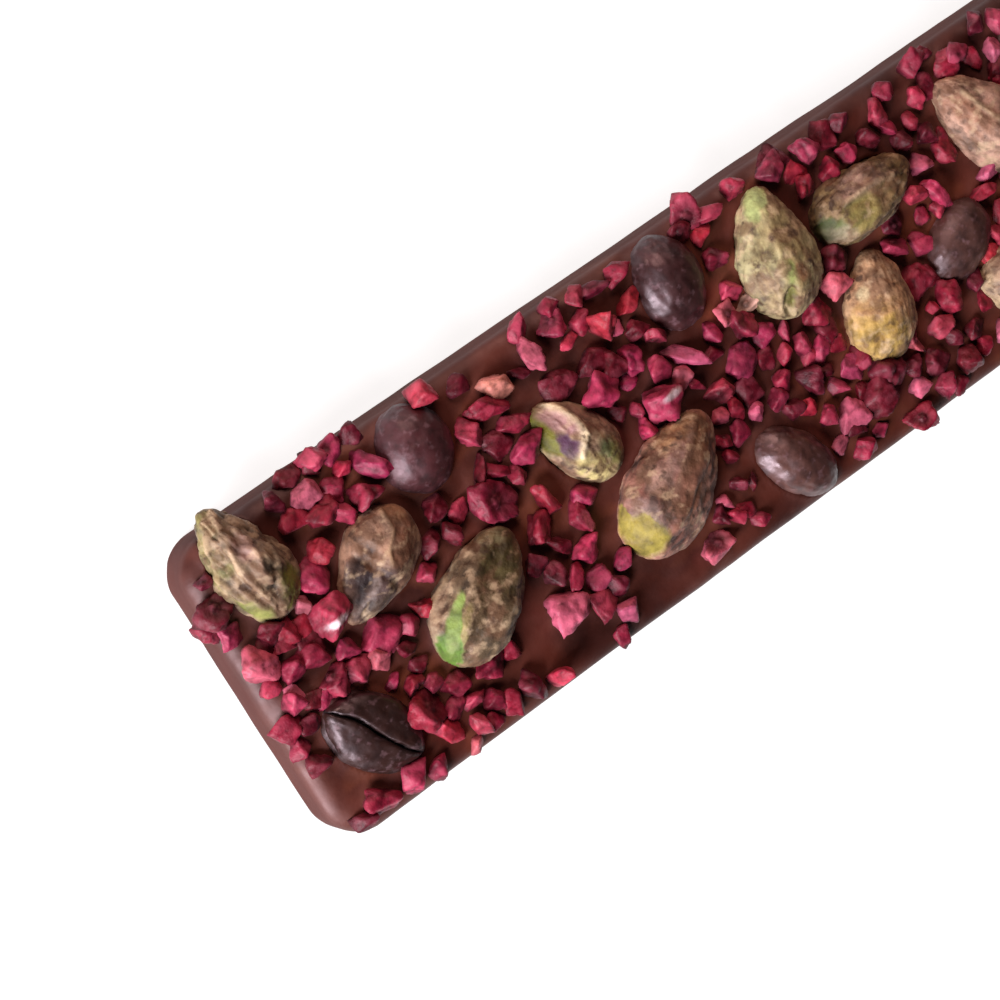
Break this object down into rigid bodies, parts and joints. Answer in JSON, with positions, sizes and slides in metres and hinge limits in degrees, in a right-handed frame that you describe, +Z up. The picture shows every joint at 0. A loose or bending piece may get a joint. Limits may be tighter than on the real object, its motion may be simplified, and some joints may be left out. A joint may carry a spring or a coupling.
{
  "type": "chocolate bark bar",
  "caption": "Slim flat bar of milk chocolate with rolled edges, topped with sunk pistachio kernels, coffee beans and crumbs of dried red berry.",
  "frame": {"origin": "centre of the flat underside", "axes": "+X along the bar's length, away from the end that the picture shows; +Y across it, towards the long edge that is uppermost in the picture; +Z up, the topped side"},
  "size_m": [0.152, 0.0425, 0.0132],
  "materials": {
    "milk_chocolate": "soft sheen of set chocolate, a little uneven",
    "pistachio_skin": "dry wrinkled skin, tan and mauve with green showing",
    "roasted_coffee": "dark roasted, satin",
    "dried_berry": "dry, velvety, porous"
  },
  "bodies": {
    "root": {"chocolate_slab": "milk_chocolate", "pistachio_1": "pistachio_skin", "pistachio_2": "pistachio_skin", "pistachio_3": "pistachio_skin", "pistachio_4": "pistachio_skin", "pistachio_5": "pistachio_skin", "pistachio_6": "pistachio_skin", "pistachio_7": "pistachio_skin", "pistachio_8": "pistachio_skin", "pistachio_9": "pistachio_skin", "pistachio_10": "pistachio_skin", "pistachio_11": "pistachio_skin", "pistachio_12": "pistachio_skin", "coffee_bean_1": "roasted_coffee", "coffee_bean_2": "roasted_coffee", "coffee_bean_3": "roasted_coffee", "coffee_bean_4": "roasted_coffee", "coffee_bean_5": "roasted_coffee", "coffee_bean_6": "roasted_coffee", "coffee_bean_7": "roasted_coffee"}
  },
  "joints": []
}
